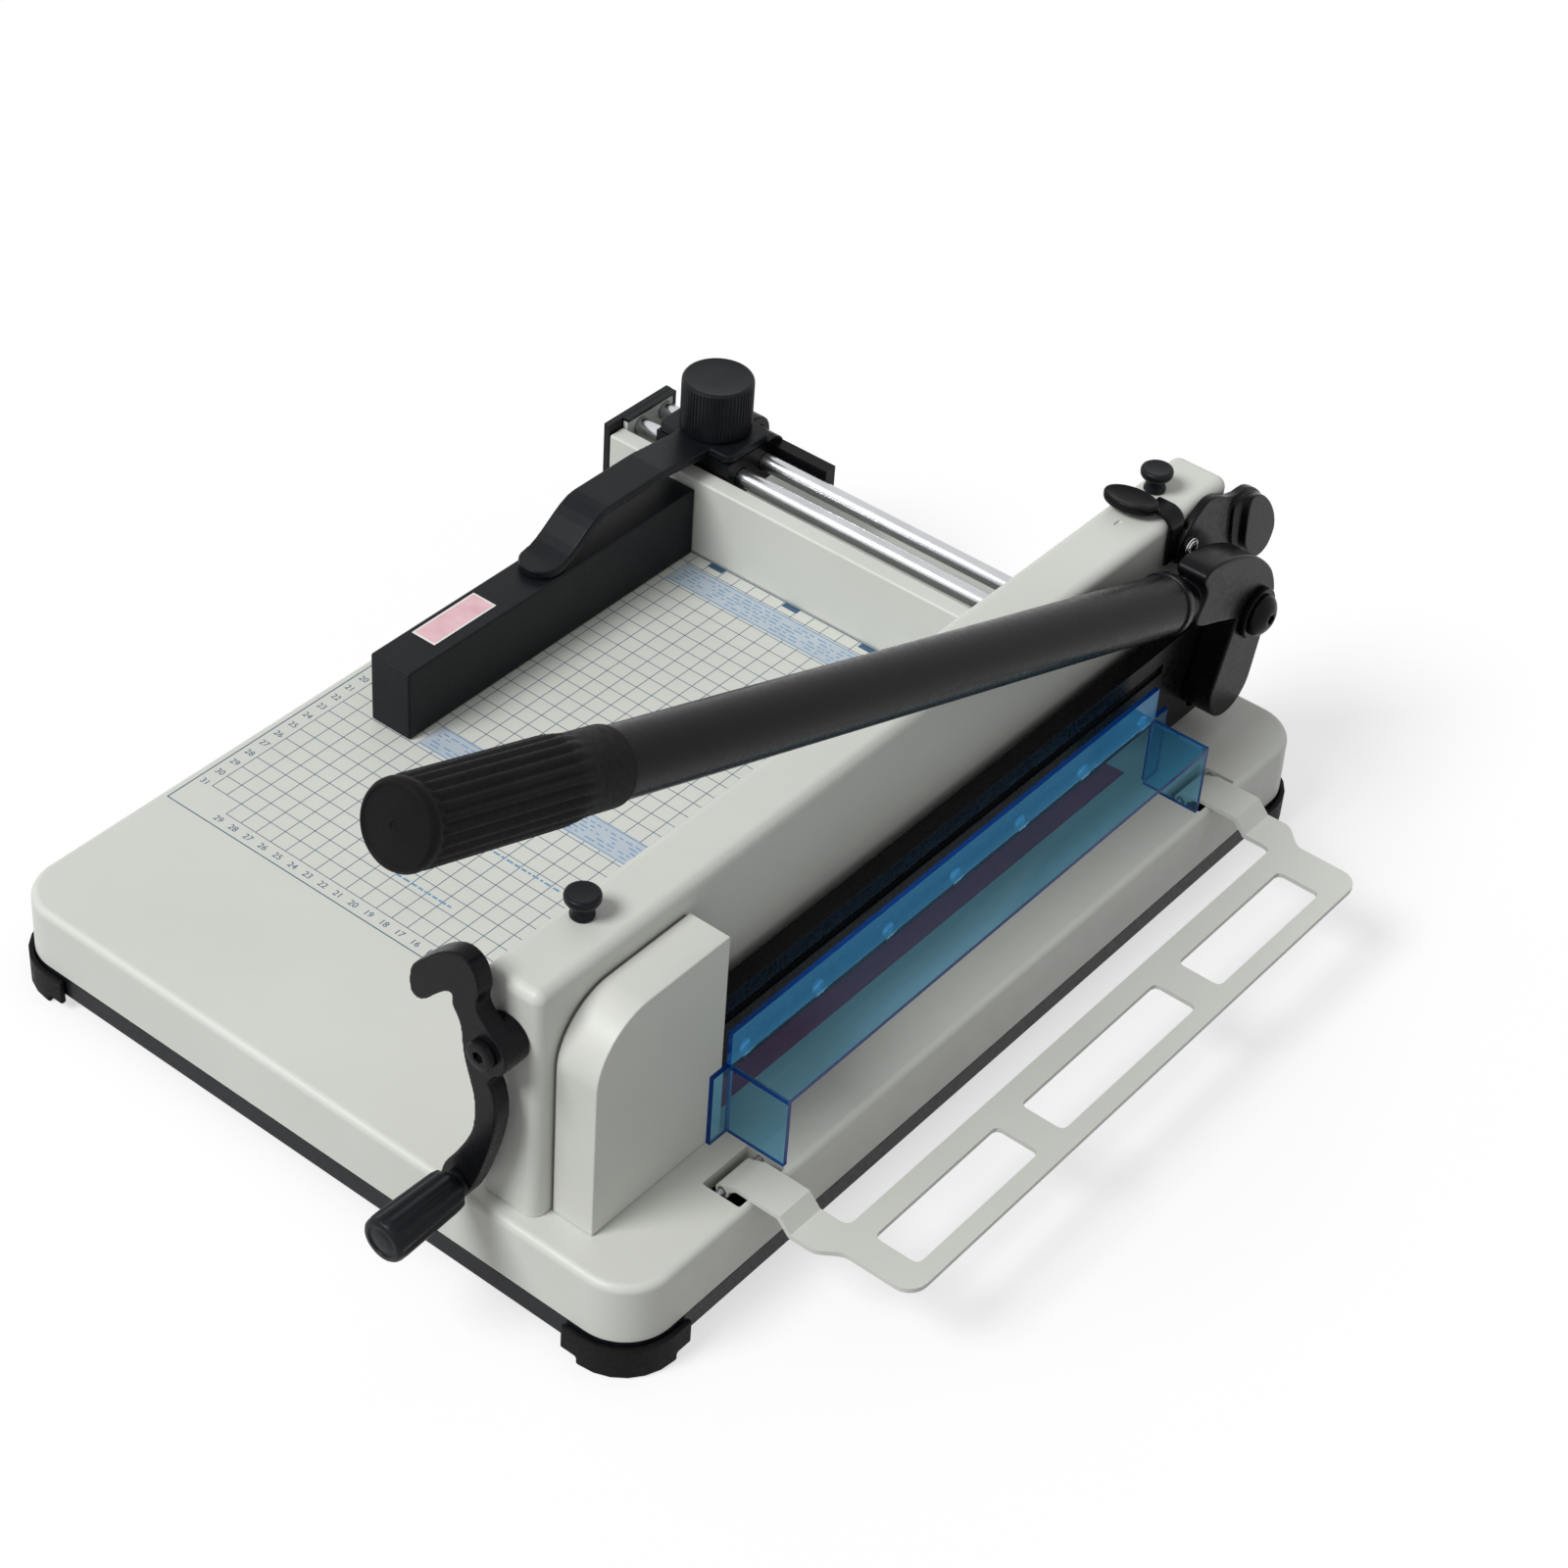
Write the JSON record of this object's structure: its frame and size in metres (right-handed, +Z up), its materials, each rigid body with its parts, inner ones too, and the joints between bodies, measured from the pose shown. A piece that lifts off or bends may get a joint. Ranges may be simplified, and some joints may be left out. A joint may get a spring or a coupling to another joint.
{
  "type": "stack paper cutter",
  "caption": "Bench guillotine for a ream of paper: long lever, sliding blade, crank-driven clamp, sliding back gauge on chrome rods, blue blade guard and folding front rack.",
  "frame": {"origin": "middle of the bounding box, on the surface that the rubber feet stand on", "axes": "+X from the loading table to the outfeed rack, +Y along the blade from the crank end to the lever pivot, +Z up"},
  "size_m": [0.4722, 0.6518, 0.3673],
  "materials": {
    "cream_paint": "satin cream enamel",
    "black_enamel": "semi-gloss black enamel on cast and drawn metal",
    "black_plastic": "fine moulded grain",
    "rubber": "matt black",
    "steel": "ground tool steel",
    "chrome": "polished chrome plate",
    "red_plastic": "soft red cutting stick",
    "label_paper": "thin matt sticker",
    "blue_acrylic": "clear blue acrylic"
  },
  "bodies": {
    "base": {"base_shell": "cream_paint", "beam_housing": "cream_paint", "blade_guard": "blue_acrylic", "bottom_tray": "black_plastic", "catch_pin": "chrome", "cutting_stick": "red_plastic", "end_cover": "cream_paint", "far_frame_cheek": "steel", "foot_front_far": "rubber", "foot_front_near": "rubber", "foot_rear_far": "rubber", "foot_rear_near": "rubber", "guide_rod_inner": "chrome", "guide_rod_outer": "chrome", "idler_pin": "steel", "near_frame_cheek": "steel", "pivot_bolt": "black_enamel", "pivot_bush": "steel", "pivot_washer": "black_enamel", "rack_pin_far": "steel", "rack_pin_near": "steel", "rod_end_cap": "black_plastic", "rod_end_plate": "cream_paint", "rod_front_block": "black_plastic", "side_fence": "cream_paint"},
    "carrier": {"blade": "steel", "blade_carrier": "black_enamel", "blade_bolt_1": "chrome", "blade_bolt_2": "chrome", "blade_bolt_3": "chrome", "blade_bolt_4": "chrome", "blade_bolt_5": "chrome", "blade_bolt_6": "chrome", "blade_bolt_7": "chrome", "slide_pin_near": "steel", "slide_pin_far": "steel"},
    "lever": {"lever_head": "black_enamel", "lever_tube": "black_enamel", "tube_collar": "black_enamel", "lever_grip": "rubber", "drive_pin": "steel"},
    "crank": {"crank_shaft": "steel", "crank_arm": "black_plastic", "crank_screw": "black_enamel", "crank_grip_pin": "chrome"},
    "crank_hand_grip": {"crank_grip": "black_plastic"},
    "idler": {"idler_gear": "steel"},
    "pinion": {"pinion_shaft": "steel"},
    "press": {"press_plate": "black_enamel", "press_rack_near": "steel", "press_rack_far": "steel"},
    "catch": {"safety_catch": "black_enamel"},
    "gauge": {"gauge_block": "black_plastic", "gauge_carriage": "black_enamel", "gauge_handle": "black_plastic", "gauge_label": "label_paper"},
    "lock_knob": {"gauge_knob": "black_plastic"},
    "knob_near": {"beam_knob_near": "black_plastic"},
    "knob_far": {"beam_knob_far": "black_plastic"},
    "rack": {"front_rack": "cream_paint"}
  },
  "joints": [
    {"name": "lever_swing", "type": "hinge", "parent": "base", "child": "lever", "pos_m": [0.11115, 0.27746, 0.123], "axis": [-1, 0, 0], "range_deg": [0, 65]},
    {"name": "carrier_slide", "type": "slide", "parent": "base", "child": "carrier", "axis": [0, -0.7021, 0.7121], "range_m": [0, 0.05293]},
    {"name": "crank_turn", "type": "hinge", "parent": "base", "child": "crank", "pos_m": [0.0754, -0.21904, 0.154], "axis": [0, 1, 0], "range_deg": [0, 292.85]},
    {"name": "idler_turn", "type": "hinge", "parent": "base", "child": "idler", "pos_m": [0.0754, -0.14194, 0.136], "axis": [0, 1, 0], "range_deg": [-292.86, 0]},
    {"name": "pinion_turn", "type": "hinge", "parent": "base", "child": "pinion", "pos_m": [0.0754, -0.14194, 0.118], "axis": [0, 1, 0], "range_deg": [0, 292.86]},
    {"name": "press_slide", "type": "slide", "parent": "base", "child": "press", "axis": [0, 0, -1], "range_m": [0, 0.04601]},
    {"name": "crank_grip_spin", "type": "hinge", "parent": "crank", "child": "crank_hand_grip", "pos_m": [0.0614, -0.21904, 0.0685], "axis": [0, 1, 0], "continuous": true},
    {"name": "catch_press", "type": "hinge", "parent": "base", "child": "catch", "pos_m": [0.09165, 0.25046, 0.163], "axis": [1, 0, 0], "range_deg": [0, 5], "stiffness_Nm_per_rad": 0.8, "springref_deg": -20.05},
    {"name": "gauge_slide", "type": "slide", "parent": "base", "child": "gauge", "axis": [1, 0, 0], "range_m": [-0.016, 0.16]},
    {"name": "lock_knob_turn", "type": "hinge", "parent": "gauge", "child": "lock_knob", "pos_m": [-0.18385, 0.22746, 0.114], "axis": [0, 0, 1], "range_deg": [0, 270]},
    {"name": "beam_knob_near_turn", "type": "hinge", "parent": "base", "child": "knob_near", "pos_m": [0.0702, -0.16884, 0.183], "axis": [0, 0, 1], "range_deg": [0, 360]},
    {"name": "beam_knob_far_turn", "type": "hinge", "parent": "base", "child": "knob_far", "pos_m": [0.0702, 0.25396, 0.183], "axis": [0, 0, 1], "range_deg": [0, 360]},
    {"name": "rack_fold", "type": "hinge", "parent": "base", "child": "rack", "pos_m": [0.13715, 0.03546, 0.049], "axis": [0, -1, 0], "range_deg": [0, 85]}
  ],
  "couplings": [
    {"joint": "carrier_slide", "follows": "lever_swing", "m_per_rad": 0.046646},
    {"joint": "idler_turn", "follows": "crank_turn", "ratio": -1},
    {"joint": "pinion_turn", "follows": "crank_turn", "ratio": 1},
    {"joint": "press_slide", "follows": "crank_turn", "m_per_rad": 0.009}
  ]
}
